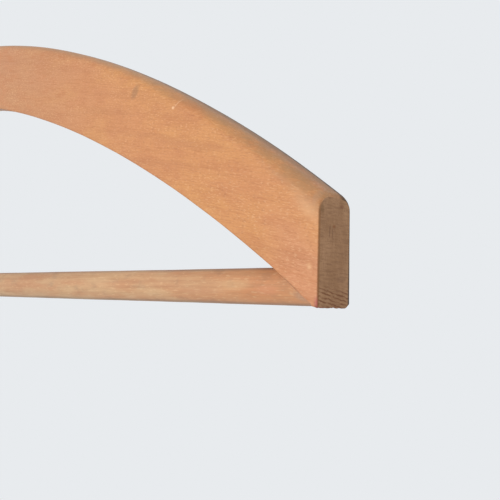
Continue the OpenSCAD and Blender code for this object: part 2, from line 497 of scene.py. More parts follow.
@dataclass(frozen=True)
class DrawnNickelWire:
    """Steel wire, drawn, bent and bright nickel plated, dulled a little by handling."""

    name: str
    bright: str = "C9C6BE"
    dull: str = "A8A49B"

    def material(self) -> bpy.types.Material:
        """Builds the finish.

        Returns:
            The material.
        """
        s = Surface(self.name)
        haze = s.add(Node.NOISE, s.stretched((5, 5, 5)), 4, 0.6)
        # Drawing lines: 0.15 mm apart, along the shank and mostly lost in the bends.
        lines = s.add(Node.NOISE, s.stretched((0.15, 0.15, 12)), 2)
        colour = s.add(Node.MIX, s.add(Node.RAMP, haze, 0.4, 0.7), self.bright, self.dull)
        hazy = s.add(Node.RAMP, haze, 0.35, 0.7, 0.16, 0.30)
        rough = s.add(Node.ADD, hazy, s.add(Node.MULTIPLY, lines, 0.05))
        relief = s.add(Node.BUMP, lines, 0.004 * MM)
        return s.finish(Base_Color=colour, Metallic=1.0, Roughness=rough, Normal=relief)


@dataclass(frozen=True)
class TurnedNickel:
    """Turned and nickel-plated steel for the ferrule and the washer: fine rings from the lathe."""

    name: str
    bright: str = "C4C0B6"
    dull: str = "8F8A7E"

    def material(self) -> bpy.types.Material:
        """Builds the finish.

        Returns:
            The material.
        """
        s = Surface(self.name)
        flat = add_node(s.tree, "ShaderNodeVectorMath", {0: s.place, 1: (1, 1, 0)}, operation="MULTIPLY")
        radius = add_node(s.tree, "ShaderNodeVectorMath", {0: flat.outputs[0]}, operation="LENGTH")
        # Tool marks every 0.12 mm of radius.
        rings = s.add(Node.SINE, s.add(Node.MULTIPLY, radius.outputs["Value"], 2 * math.pi / (0.12 * MM)))
        tarnish = s.add(Node.NOISE, s.stretched((1.5, 1.5, 1.5)), 4, 0.6)
        colour = s.add(Node.MIX, s.add(Node.RAMP, tarnish, 0.45, 0.7), self.bright, self.dull)
        rough = s.add(Node.RAMP, tarnish, 0.35, 0.7, 0.25, 0.45)
        relief = s.add(Node.BUMP, rings, 0.003 * MM)
        return s.finish(Base_Color=colour, Metallic=1.0, Roughness=rough, Normal=relief)


@dataclass(frozen=True)
class DullSteel:
    """Bare steel brads: grey, with a breath of rust round the head."""

    name: str
    steel: str = "7E7B76"
    rust: str = "6B4630"

    def material(self) -> bpy.types.Material:
        """Builds the finish.

        Returns:
            The material.
        """
        s = Surface(self.name)
        spots = s.add(Node.NOISE, s.stretched((0.7, 0.7, 0.7)), 4, 0.65)
        rusted = s.add(Node.RAMP, spots, 0.52, 0.66)
        colour = s.add(Node.MIX, rusted, self.steel, self.rust)
        metal = s.add(Node.SUBTRACT, 1.0, rusted)
        rough = s.add(Node.RAMP, spots, 0.3, 0.7, 0.38, 0.75)
        relief = s.add(Node.BUMP, spots, 0.02 * MM)
        return s.finish(Base_Color=colour, Metallic=metal, Roughness=rough, Normal=relief)


@dataclass(frozen=True)
class MattPaper:
    """Seamless studio paper for the floor: pale, matt and very slightly uneven."""

    name: str
    paper: str = "E6E9EC"
    shade: str = "DFE3E7"

    def material(self) -> bpy.types.Material:
        """Builds the finish.

        Returns:
            The material.
        """
        s = Surface(self.name)
        # Slow changes of tone over a third of a metre.
        tone = s.add(Node.NOISE, s.stretched((350, 350, 350)), 2)
        colour = s.add(Node.MIX, tone, self.paper, self.shade)
        return s.finish(Base_Color=colour, Roughness=0.9, Specular_IOR_Level=0.1)


# --------------------------------------------------------------------------- mesh helpers


def make_object(name: str, vertices: np.ndarray, faces: list[tuple[int, ...]]) -> bpy.types.Object:
    """Makes a mesh object at the origin.

    Args:
        name: Object and mesh name.
        vertices: Points, one row each.
        faces: Vertex indices of each face, anticlockwise from outside.

    Returns:
        The linked object.
    """
    mesh = bpy.data.meshes.new(name)
    mesh.from_pydata([tuple(v) for v in vertices], [], faces)
    mesh.update()
    obj = bpy.data.objects.new(name, mesh)
    bpy.context.scene.collection.objects.link(obj)
    return obj


def coordinates(mesh: bpy.types.Mesh) -> np.ndarray:
    """The mesh's points, one row each."""
    flat = np.zeros(len(mesh.vertices) * 3)
    mesh.vertices.foreach_get("co", flat)
    return flat.reshape(-1, 3)


def set_mask(mesh: bpy.types.Mesh, name: str, values: np.ndarray) -> None:
    """Stores a mask from 0 to 1 at the mesh's points."""
    layer = mesh.attributes.new(name, "FLOAT", "POINT")
    layer.data.foreach_set("value", np.clip(values, 0, 1).astype(np.float32))


def smooth(mesh: bpy.types.Mesh, crease_degrees: float = 38) -> None:
    """Shades smooth, but keeps creases sharper than the angle."""
    mesh.shade_smooth()
    mesh.set_sharp_from_angle(angle=math.radians(crease_degrees))


def baked(obj: bpy.types.Object) -> bpy.types.Object:
    """Turns what an object's modifiers make into its own plain mesh and removes them.

    Args:
        obj: The object with its modifiers set.

    Returns:
        The same object, or a mesh object that takes its place if it was a curve.
    """
    graph = bpy.context.evaluated_depsgraph_get()
    mesh = bpy.data.meshes.new_from_object(obj.evaluated_get(graph))
    if obj.type == "MESH":
        obj.modifiers.clear()
        obj.data = mesh
        return obj
    name = obj.name
    bpy.data.objects.remove(obj)
    mesh.name = name
    made = bpy.data.objects.new(name, mesh)
    bpy.context.scene.collection.objects.link(made)
    return made


def rod(radius: float, start: Vector, end: Vector, sides: int = 64) -> bpy.types.Object:
    """A plain closed rod between two points, used only to cut holes."""
    axis = (end - start).normalized()
    turn = axis.to_track_quat("Z", "Y").to_matrix()
    angles = np.linspace(0, 2 * math.pi, sides, endpoint=False)
    ring = [turn @ Vector((radius * math.cos(a), radius * math.sin(a), 0)) for a in angles]
    points = [start + p for p in ring] + [end + p for p in ring]
    faces = [(i, (i + 1) % sides, sides + (i + 1) % sides, sides + i) for i in range(sides)]
    faces += [tuple(reversed(range(sides))), tuple(range(sides, 2 * sides))]
    return make_object("cutter", np.array(points), faces)


def cut(obj: bpy.types.Object, cutters: list[bpy.types.Object]) -> None:
    """Cuts each cutter out of the object, and deletes the cutters."""
    for cutter in cutters:
        hole = obj.modifiers.new("hole", "BOOLEAN")
        hole.operation, hole.solver, hole.object = "DIFFERENCE", "EXACT", cutter
    baked(obj)
    for cutter in cutters:
        bpy.data.objects.remove(cutter)


def ripple(points: np.ndarray, cell: tuple[float, float, float], seed: float) -> np.ndarray:
    """Smooth noise of about -1 to 1 at each point.

    Args:
        points: Points, one row each.
        cell: Size of the noise's cells along X, Y and Z.
        seed: Offset that picks another stretch of the noise.

    Returns:
        One value for each point.
    """
    scale = 1 / np.array(cell)
    offset = np.array([seed * 17.3, seed * 5.1, seed * 9.7])
    return np.array([noise.noise(Vector(p * scale + offset)) for p in points])


def step(values: np.ndarray, low: float, high: float) -> np.ndarray:
    """A smooth step from 0 at low to 1 at high."""
    t = np.clip((values - low) / (high - low), 0, 1)
    return t * t * (3 - 2 * t)


# --------------------------------------------------------------------------- wood


@dataclass(frozen=True)
class Flank:
    """How one long face of an arm was shaped, from its lower arris to the middle of its top.

    Foot is the face's distance from the middle plane at the bottom, lean how much less it is at
    the top, rounding the radius at the brow, end_ease how much larger that is at the end face,
    and crown the fall of the top by the square of the distance from the middle plane.
    """

    foot: float
    lean: float
    rounding: float
    crown: float
    end_ease: float = 0.0


@dataclass(frozen=True)
class Places:
    """Where the points of an arm lie, measured from its own planes and edges."""

    co: np.ndarray
    y: np.ndarray
    over_toe: np.ndarray
    below: np.ndarray
    above: np.ndarray
    along: np.ndarray


@dataclass
class Arm:
    """One half of the bow: flat faces, a rounded top edge and an upright end face."""

    side: Side
    low: Vector
    high: Vector
    bar_radius: float
    bar_axis_z: float
    bar_end: float
    grain: AgedBeech
    end_grain: BeechEndGrain
    # The front was rounded over generously, the back only eased.
    front: Flank = Flank(foot=5.99 * MM, lean=0.03 * MM, rounding=4.0 * MM, crown=0.006 / MM)
    back: Flank = Flank(
        foot=5.86 * MM, lean=0.37 * MM, rounding=2.2 * MM, crown=0.052 / MM, end_ease=0.6 * MM
    )
    edge_radius: float = 546 * MM
    crest_slope: float = math.radians(8)
    end_height: float = 28.5 * MM
    arch_radius: float = 600 * MM
    toe_slope: float = math.radians(32.6)
    crown_radius: float = 100 * MM
    toe_flat: float = 1.9 * MM
    toe_wear: float = 0.35 * MM
    toe_fullness: float = 0.55 * MM
    ease_length: float = 9 * MM
    arris_round: float = 0.2 * MM
    end_arris_round: float = 0.5 * MM
    rim: float = 0.3 * MM
    top_rim: float = 1.08 * MM
    finger_length: float = 8 * MM
    finger_pitch: float = 3.6 * MM
    glue_line: float = 0.04 * MM
    seat_radius: float = 5.3 * MM
    spigot_radius: float = 3.6 * MM
    hole_radius: float = 2.5 * MM
    pocket_radius: float = 4.6 * MM
    pocket_height: float = 4.6 * MM
    socket_gap: float = 0.06 * MM
    brad_sinking: float = 0.8 * MM
    sanding: float = 0.05 * MM
    torn_fibres: float = 0.16 * MM
    toe_notch: float = 0.5 * MM
    lost_corner: float = 0.9 * MM
    dent_depth: float = 0.18 * MM
    side_rows: int = 44
    round_rows: int = 12
    crown_points: int = 9
    across: int = 44
    station_gap: float = 0.85 * MM
    rim_steps: int = 6
    toe_rows: int = 10

    @property
    def half_length(self) -> float:
        """Distance from the middle to the end face."""
        return max(abs(self.low.x), abs(self.high.x))

    @property
    def toe_z(self) -> float:
        """Height of the toe's underside."""
        return self.low.z

    @property
    def rows(self) -> int:
        """Points up one side of a cross-section."""
        return self.side_rows + self.round_rows + len(ARRIS_ANGLES)

    @property
    def loop_size(self) -> int:
        """Points round a whole cross-section."""
        return 2 * self.rows + self.crown_points + self.across - 1

    def top(self, x: np.ndarray) -> np.ndarray:
        """Height of the upper edge at a distance from the middle."""
        centre_x = -self.edge_radius * math.sin(self.crest_slope)
        rise = math.sqrt(self.edge_radius**2 - (self.half_length - centre_x) ** 2)
        centre_z = self.toe_z + self.end_height - rise
        return centre_z + np.sqrt(self.edge_radius**2 - (np.maximum(x, 0) - centre_x) ** 2)

    def top_slope(self, x: float) -> float:
        """Downward slope of the upper edge, as an angle."""
        return math.asin(max(x, 0) / self.edge_radius + math.sin(self.crest_slope))

    def arch(self, x: np.ndarray) -> np.ndarray:
        """Height of the arch below the arm, before the toe, at a distance from the middle."""
        run = self.arch_radius - self.crown_radius
        centre_x = self.half_length - self.arch_radius * math.sin(self.toe_slope)
        centre_z = self.toe_z - self.arch_radius * math.cos(self.toe_slope)
        crown_slope = math.asin(-centre_x / run)
        crown_z = centre_z + run * math.cos(crown_slope)
        long_arch = centre_z + np.sqrt(self.arch_radius**2 - (x - centre_x) ** 2)
        inside = np.clip(x, -self.crown_radius, self.crown_radius)
        crown = crown_z + np.sqrt(self.crown_radius**2 - inside**2)
        return np.where(x > self.crown_radius * math.sin(crown_slope), long_arch, crown)

    def bottom(self, x: np.ndarray) -> np.ndarray:
        """Height of the lower edge: the arch, fuller where the bar enters, then the worn toe."""
        fuller = step(x, self.half_length - 18 * MM, self.half_length - 4 * MM)
        arch = self.arch(x) + 0.08 * MM - self.toe_fullness * fuller
        worn = self.toe_wear * (1 - step(x, self.half_length - self.toe_flat, self.half_length - 0.3 * MM))
        toe = step(x, self.half_length - self.toe_flat - 0.4 * MM, self.half_length - self.toe_flat)
        return arch * (1 - toe) + (self.toe_z + worn) * toe

    def stations(self) -> np.ndarray:
        """Distances from the middle at which the arm's outline is set out, short of its rim."""
        count = int(self.half_length / self.station_gap)
        even = np.linspace(0, self.half_length, count)
        toe = self.half_length - np.linspace(self.toe_flat + 1.5 * MM, self.top_rim, 12)
        joint = np.linspace(0, self.finger_length, 12)
        every = np.unique(np.round(np.concatenate([even, toe, joint]), 6))
        every = every[every < self.half_length - self.top_rim - 0.1 * MM]
        keep = np.concatenate([[True], np.diff(every) > 0.15 * MM])
        return np.append(every[keep], self.half_length)

    def flank(self, x: float, shape: Flank) -> tuple[np.ndarray, np.ndarray]:
        """One side of the cross-section, from the lower arris up to the top.

        Args:
            x: Distance from the middle.
            shape: How this face was shaped.

        Returns:
            Distance from the middle plane and height of each point, and its outward direction.
        """
        low, high = float(self.bottom(np.array(x))), float(self.top(np.array(x)))
        near_end = float(step(np.array(x), self.half_length - 6 * MM, self.half_length - 2 * MM))
        corner = self.arris_round + (self.end_arris_round - self.arris_round) * near_end
        corner *= 1 + 0.4 * noise.noise(Vector((x / (9 * MM), 3.1, self.side.value + shape.lean / MM)))
        eased = float(step(np.array(x), self.half_length - self.ease_length, self.half_length))
        rounding = shape.rounding + shape.end_ease * eased
        tall_round = rounding / math.cos(self.top_slope(x))
        brow = shape.foot - shape.lean
        side_low = low + corner
        top = high - shape.crown * (brow - rounding) ** 2
        side_high = top - tall_round
        points, outward = [], []
        for angle in ARRIS_ANGLES:
            away = Vector((math.cos(angle), math.sin(angle)))
            points.append((shape.foot - corner + corner * away.x, side_low + corner * away.y))
            outward.append(away)
        for share in np.linspace(0, 1, self.side_rows):
            points.append((shape.foot - shape.lean * share, side_low + (side_high - side_low) * share))
            outward.append((1.0, 0.0))
        for angle in np.linspace(0, math.pi / 2, self.round_rows + 1)[1:]:
            away = Vector((math.cos(angle), math.sin(angle)))
            points.append((brow - rounding * (1 - away.x), side_high + tall_round * away.y))
            outward.append(away)
        return np.array(points), np.array(outward)

    def section(self, x: float) -> tuple[np.ndarray, np.ndarray]:
        """The whole cross-section at one station, as a closed loop.

        Args:
            x: Distance from the middle.

        Returns:
            Y and Z of each point, up the front, over the top, down the back and under the arm,
            and for each its outward direction.
        """
        front, front_out = self.flank(x, self.front)
        back, back_out = self.flank(x, self.back)
        mirror = np.array([-1, 1])
        front, front_out = front * mirror, front_out * mirror
        ys = np.linspace(front[-1][0], back[-1][0], self.crown_points + 2)[1:-1]
        crown = np.where(ys < 0, self.front.crown, self.back.crown)
        top = np.stack([ys, float(self.top(np.array(x))) - crown * ys**2], 1)
        under = np.linspace(back[0], front[0], self.across + 1)[1:-1]
        loop = np.concatenate([front, top, back[::-1], under])
        up, down = np.tile((0, 1), (len(top), 1)), np.tile((0, -1), (len(under), 1))
        return loop, np.concatenate([front_out, up, back_out[::-1], down])

    def rim_loops(self, loop: np.ndarray, outward: np.ndarray) -> list[np.ndarray]:
        """Rolls the last cross-section over into the end face.

        Args:
            loop: The cross-section at the end.
            outward: Its outward directions.

        Returns:
            X, Y and Z of the points of each step of the roll.
        """
        up = np.clip(outward[:, 1], 0, 1)
        rim = self.rim + (self.top_rim - self.rim) * up**1.5
        loops = []
        for angle in np.linspace(0, math.pi / 2, self.rim_steps + 1):
            short = rim * (1 - math.sin(angle))
            inset = rim * (1 - math.cos(angle))
            rise = short * math.tan(self.top_slope(self.half_length)) * up
            y = loop[:, 0] - outward[:, 0] * inset
            z = loop[:, 1] - outward[:, 1] * inset + rise
            loops.append(np.stack([self.half_length - short, y, z], 1))
        return loops

    def build(self) -> bpy.types.Object:
        """Builds the arm's mesh, with its masks and holes, and dresses it.

        Returns:
            The finished arm.
        """
        stations = self.stations()
        loops, outward = [], []
        for x in stations:
            loop, away = self.section(x)
            loops.append(np.column_stack([np.full(len(loop), x), loop]))
            outward.append(away)
        # The joint: each height starts on the zigzag, and the stations after it are drawn up to it.
        crown_z = float(self.arch(np.array(0.0)))
        phase = np.mod((loops[0][:, 2] - crown_z) / self.finger_pitch, 2)
        reach = self.side.value * self.finger_length / 2 * (2 * np.abs(phase - 1) - 1)
        # Under the ferrule the joint runs straight across, so that the top keeps its line.
        reach *= step(float(self.top(np.array(0.0))) - loops[0][:, 2], 0.5 * MM, 2.5 * MM)
        for x, loop in zip(stations, loops):
            loop[:, 0] += max(0, 1 - x / (2 * self.finger_length)) * (reach + self.glue_line)
        rims = self.rim_loops(loops[-1][:, 1:], outward[-1])
        points = np.concatenate(loops[:-1] + rims)
        directions = np.concatenate(outward[:-1] + [outward[-1]] * len(rims))
        self.weather(points, directions)
        points[:, 0] *= self.side.value
        obj = self.skin(points, len(loops[0]))
        self.masks(obj)
        self.bore(obj)
        self.dress(obj)
        return obj

    def weather(self, points: np.ndarray, outward: np.ndarray) -> None:
        """Moves the points for hand sanding, a ragged toe and one small dent.

        Args:
            points: The arm's points, changed in place.
            outward: Outward direction of each point, in Y and Z.
        """
        seed = 2.0 + self.side.value
        sanding = self.sanding * (ripple(points, (26 * MM, 30 * MM, 12 * MM), seed) - 0.6)
        points[:, 1:] += outward * sanding[:, None]
        x, y, z = points[:, 0], points[:, 1], points[:, 2]
        near_end = step(x, self.half_length - 1.4 * MM, self.half_length - 0.2 * MM)
        near_toe = np.clip(1 - (z - self.toe_z) / (5 * MM), 0, 1)
        torn = self.torn_fibres * np.abs(ripple(points, (2 * MM, 0.9 * MM, 400 * MM), seed + 4))
        notch = self.toe_notch * np.exp(-(((y - 0.2 * MM) / (0.32 * MM)) ** 2))
        back_corner = self.lost_corner * step(y, self.back.foot - 1.7 * MM, self.back.foot)
        z += near_end * near_toe * (torn + notch + back_corner)
        y += self.dent_depth * self.dent(x, z) * (y < 0)

    def dent(self, x: np.ndarray, z: np.ndarray) -> np.ndarray:
        """How much of the knock beside the end face each point takes, from 0 to 1."""
        along = (x - self.half_length + 3.0 * MM) / (0.8 * MM)
        return np.exp(-(along**2) - ((z - self.toe_z - 10.4 * MM) / (0.7 * MM)) ** 2)

    def skin(self, points: np.ndarray, size: int) -> bpy.types.Object:
        """Covers the loops with faces and closes both ends.

        Args:
            points: All the loops' points, loop after loop.
            size: Points in each loop.

        Returns:
            The object, with its end face in the end-grain slot.
        """
        count = len(points) // size
        faces = []
        for a in range(0, (count - 1) * size, size):
            for j in range(size):
                k = (j + 1) % size
                faces.append((a + j, a + size + j, a + size + k, a + k))
        roll_start = len(faces) - size
        faces += self.cap(0, size, 1)
        end_start = len(faces)
        faces += [tuple(reversed(f)) for f in self.cap((count - 1) * size, size, self.toe_rows)]
        if self.side is Side.LEFT:
            faces = [tuple(reversed(f)) for f in faces]
        obj = make_object(f"{self.side.name.lower()}_arm_wood", points, faces)
        slots = np.zeros(len(faces), int)
        slots[roll_start : roll_start + size] = ArmFace.END_GRAIN.value
        slots[end_start:] = ArmFace.END_GRAIN.value
        obj.data.polygons.foreach_set("material_index", slots)
        return obj

    def cap(self, start: int, size: int, foot_rows: int) -> list[tuple[int, ...]]:
        """Closes one loop with a strip of faces from front to back, one for each height.

        Args:
            start: Index of the loop's first point.
            size: Points in the loop.
            foot_rows: How many of the lowest heights share one face with the underside.

        Returns:
            The faces, facing away from the arm at its joint.
        """
        rows, back = self.rows, 2 * self.rows + self.crown_points - 1
        foot = (*range(foot_rows + 1), *range(back - foot_rows, size))
        faces = [foot]
        for j in range(foot_rows, rows - 1):
            faces.append((j, j + 1, back - j - 1, back - j))
        faces.append(tuple(range(rows - 1, rows + self.crown_points + 1)))
        return [tuple(start + n for n in face) for face in faces]

    def masks(self, obj: bpy.types.Object) -> None:
        """Stores the arm's masks, while its points still are its loops in order."""
        co = coordinates(obj.data)
        x, y, z = np.abs(co[:, 0]), co[:, 1], co[:, 2]
        at = Places(
            co, y, z - self.toe_z, self.top(x) - z, z - self.bottom(x), self.half_length - x
        )
        masks = {
            "handled": self.handled(at),
            "grime_and_shade": self.grime_and_shade(at),
            "arris": self.arris(at),
            "bare": (0.5 * self.rubbed(at) + 0.6 * self.dent(x, z)) * (y < 0),
            "blush": self.blush(at),
            "flushed": self.flushed(at),
            # Painted shade: toward the joint the wood is made darker and duller.
            "painted_far_shade": 0.60 * step(at.along, 70 * MM, 190 * MM),
        }
        for name, values in masks.items():
            set_mask(obj.data, name, values)

    def handled(self, at: Places) -> np.ndarray:
        """Painted shade: a soft band below the top, wider toward the end, where the rounding turns from the
        light.
        """
        uneven = 1 + 0.35 * ripple(at.co, (14 * MM, 60 * MM, 9 * MM), 6)
        reach = 1.5 * MM + 5.5 * MM * np.exp(-at.along / (32 * MM))
        return 0.72 * (1 - step(at.below, 0.1 * reach * uneven, 1.45 * reach * uneven))

    def grime_and_shade(self, at: Places) -> np.ndarray:
        """Dirt and painted shade over the top and behind it, narrower toward the end, and painted shade round
        the end's back rim.
        """
        far = 1 - np.exp(-at.along / (30 * MM))
        over = step(at.y, -3.5 * MM, 1.0 * MM) * (0.28 + 0.42 * far)
        behind = 0.97 * step(at.y, (0.8 - 1.3 * far) * MM, (2.8 - 0.8 * far) * MM)
        near = np.exp(-at.along / (6 * MM))
        top_only = 1 - step(at.below, (1.2 + 3 * near) * MM, (4.2 + 4 * near) * MM)
        # Painted shade along the end's back rim.
        rim = 0.95 * (1 - step(at.along, 0.1 * MM, 0.7 * MM)) * step(at.y, 4.6 * MM, 5.1 * MM)
        return np.maximum(np.maximum(over, behind) * top_only, rim)

    def arris(self, at: Places) -> np.ndarray:
        """Darkened edges: the lower arris with a painted shadow line where it meets the bar, the rim of the
        end face with painted shade at its back, painted shade along the end face's foot, and the glued joint.
        """
        # The lower arris is darkest over the bar: a painted shadow line where it meets the bar.
        seam_shadow = np.exp(-(((at.along - 9.4 * MM) / (3.6 * MM)) ** 4))
        past_bar = step(at.along, 14 * MM, 18 * MM)
        lower = (0.12 + 0.75 * seam_shadow + 0.28 * past_bar) * (1 - step(at.above, 0.05 * MM, 0.35 * MM))
        # The end face's rim: darker oil at the front, painted shade at the back.
        beside = step(np.abs(at.y), self.back.foot - 1.0 * MM, self.back.foot - 0.6 * MM)
        end_rim_oil_and_shade = 0.5 * (1 - step(at.along, 0.0, 0.30 * MM)) * beside
        # Painted shade along the foot of the end face.
        under_toe = 1 - step(at.over_toe, 0.5 * MM, 1.3 * MM)
        end_foot_shade = 0.95 * under_toe * (1 - step(at.along, 0.4 * MM, 0.9 * MM))
        joint = np.zeros(len(at.co))
        joint[: self.loop_size] = 0.8
        return np.maximum.reduce([lower, end_rim_oil_and_shade, end_foot_shade, joint])

    def rubbed(self, at: Places) -> np.ndarray:
        """A patch below the end's brow, where clothes rubbed the oil off."""
        along, below = (at.along - 4 * MM) / (4 * MM), (at.below - 6.2 * MM) / (2.4 * MM)
        return np.exp(-(along**2) - below**2)

    def blush(self, at: Places) -> np.ndarray:
        """A pink stain low on the end face's front arris."""
        along, up = at.along / (0.8 * MM), (at.over_toe - 1.3 * MM) / (1.3 * MM)
        return np.exp(-(along**2) - up**2) * (at.y < -4 * MM)

    def flushed(self, at: Places) -> np.ndarray:
        """Where the oil took pinker: near the end, and most of all low down."""
        near_end = 1 - step(at.along, 6 * MM, 26 * MM)
        return 0.6 * near_end * (0.2 + 0.8 * step(at.below, 9 * MM, 19 * MM))

    def on_front(self, along: float, below: float) -> Vector:
        """A place on the front face, by its millimetres from the end and from the top edge."""
        x = self.half_length - along * MM
        return Vector((self.side.value * x, -self.front.foot, float(self.top(np.array(x))) - below * MM))

    def face_marks(self) -> list[Mark]:
        """Old stains and scratches on the front face, and one spot of painted shade."""
        # Left arm: a stain and a pale scratch. Right arm: a stain, a dot with the scratch that
        # ends in it, a knock beside the end face and a grey spot of painted shade at its brow.
        if self.side is Side.LEFT:
            return [
                Mark(self.on_front(120, 14), (3.0, 3, 1.2), "8A5B38", 0.35, -20),
                Mark(self.on_front(52, 9), (4.5, 3, 0.35), "EDBE8E", 0.40, 25),
            ]
        return [
            Mark(self.on_front(84.5, 6.0), (3.6, 4, 2.3), "86603F", 0.42, 45),
            Mark(self.on_front(63.0, 4.8), (0.8, 3, 0.6), "F2C79B", 0.65),
            Mark(self.on_front(61.0, 2.6), (3.2, 3, 0.35), "E4B48A", 0.45, 45),
            Mark(self.on_front(2.9, 20.4), (0.9, 3, 0.6), "E2AE80", 0.40),
            # Painted shade where the top rounds down to the end face.
            Mark(self.on_front(1.6, 1.8), (1.5, 6, 2.6), "A08A74", 0.22),
        ]

    def end_marks(self) -> list[Mark]:
        """Stains on the end face, by their millimetres from the middle plane and the toe."""
        sign, x = self.side.value, self.side.value * self.half_length
        spots = [
            (-0.4 * sign, 20.4, 0.7, 0.6, "85502C", 0.6),
            (2.3, 25.6, 1.0, 0.8, "7C4E34", 0.5),
            (-4.6, 24.6, 0.8, 1.6, "7A5A38", 0.5),
            (-1.9, 19.0, 0.25, 2.2, "6A4834", 0.5),
            (-0.9, 18.6, 0.25, 2.0, "6A4834", 0.45),
            (2.6, 7.4, 2.0, 1.4, "7C573E", 0.35),
        ]
        return [
            Mark(Vector((x, y * MM, self.toe_z + z * MM)), (3, wide, tall), colour, strength)
            for y, z, wide, tall, colour, strength in spots
        ]

    def bore(self, obj: bpy.types.Object) -> None:
        """Cuts the bar's socket, the brad's sinking and this arm's half of the hook's pocket."""
        sign = self.side.value
        crown_z = float(self.arch(np.array(0.0)))
        seat_z = self.high.z
        above, below = Vector((0, 0, seat_z + 4 * MM)), Vector((0, 0, crown_z - 3 * MM))
        ferrule_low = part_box("hook_ferrule")[0].z
        brad_low, brad_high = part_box(f"{self.side.name.lower()}_brad")
        brad = (brad_low + brad_high) / 2
        head = Vector((brad.x, brad_high.y - self.brad_sinking, brad.z))
        bar_mouth = Vector((sign * (self.half_length - 30 * MM), 0, self.bar_axis_z))
        bar_stop = Vector((sign * (self.bar_end + 0.05 * MM), 0, self.bar_axis_z))
        cutters = [
            rod(self.bar_radius + self.socket_gap, bar_mouth, bar_stop, 96),
            rod(self.pocket_radius, below, Vector((0, 0, crown_z + self.pocket_height))),
            rod(self.seat_radius, Vector((0, 0, seat_z)), above),
            rod(self.spigot_radius, Vector((0, 0, ferrule_low)), above),
            rod(self.hole_radius, below, above),
            rod((brad_high.x - brad_low.x) / 2 + 0.04 * MM, head, head + Vector((0, 4 * MM, 0)), 32),
        ]
        cut(obj, cutters)

    def dress(self, obj: bpy.types.Object) -> None:
        """Gives the arm its finishes and fixes it to the frame."""
        obj.data.materials.append(self.grain.material(self.face_marks()))
        obj.data.materials.append(self.end_grain.material(self.end_marks()))
        smooth(obj.data)
        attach(obj, WOODEN_BODY)
        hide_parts(f"{self.side.name.lower()}_arm")


def group_tree(name: str, sizes: dict[str, float]) -> bpy.types.NodeTree:
    """A Geometry Nodes group with a geometry in and out and one named input for each size.

    Args:
        name: The group's name.
        sizes: Input names and their defaults.

    Returns:
        The group, with its input node called "in" and its output node called "out".
    """
    tree = bpy.data.node_groups.new(name, "GeometryNodeTree")
    tree.interface.new_socket("Geometry", in_out="INPUT", socket_type="NodeSocketGeometry")
    tree.interface.new_socket("Geometry", in_out="OUTPUT", socket_type="NodeSocketGeometry")
    for label, value in sizes.items():
        socket = tree.interface.new_socket(label, in_out="INPUT", socket_type="NodeSocketFloat")
        socket.default_value = value
    tree.nodes.new("NodeGroupInput").name = "in"
    tree.nodes.new("NodeGroupOutput").name = "out"
    return tree


def end_tree(tree: bpy.types.NodeTree, geometry: bpy.types.NodeSocket, material: bpy.types.Material) -> None:
    """Closes a Geometry Nodes group with Realize Instances and Set Material."""
    real = add_node(tree, "GeometryNodeRealizeInstances", {"Geometry": geometry})
    dressed = add_node(tree, "GeometryNodeSetMaterial", {"Geometry": real.outputs[0], "Material": material})
    tree.links.new(dressed.outputs[0], tree.nodes["out"].inputs[0])


def run_tree(obj: bpy.types.Object, tree: bpy.types.NodeTree, sizes: dict[str, float]) -> bpy.types.Object:
    """Runs a Geometry Nodes group on an object and keeps the result as its plain mesh.

    Args:
        obj: The object that the group works on.
        tree: The group.
        sizes: Values for the group's named inputs.

    Returns:
        The object that holds the made mesh.
    """
    modifier = obj.modifiers.new(tree.name, "NODES")
    modifier.node_group = tree
    sockets = {s.name: s.identifier for s in tree.interface.items_tree if s.in_out == "INPUT"}
    for label, value in sizes.items():
        modifier[sockets[label]] = float(value)
    made = baked(obj)
    if made.data.materials[0] is None:
        made.data.materials.pop(index=0)
    return made


def polyline(name: str, points: list[Vector]) -> bpy.types.Object:
    """A bare curve object of straight steps through the points."""
    curve = bpy.data.curves.new(name, "CURVE")
    curve.dimensions = "3D"
    spline = curve.splines.new("POLY")
    spline.points.add(len(points) - 1)
    for point, place in zip(spline.points, points):
        point.co = (*place, 1.0)
    obj = bpy.data.objects.new(name, curve)
    bpy.context.scene.collection.objects.link(obj)
    return obj


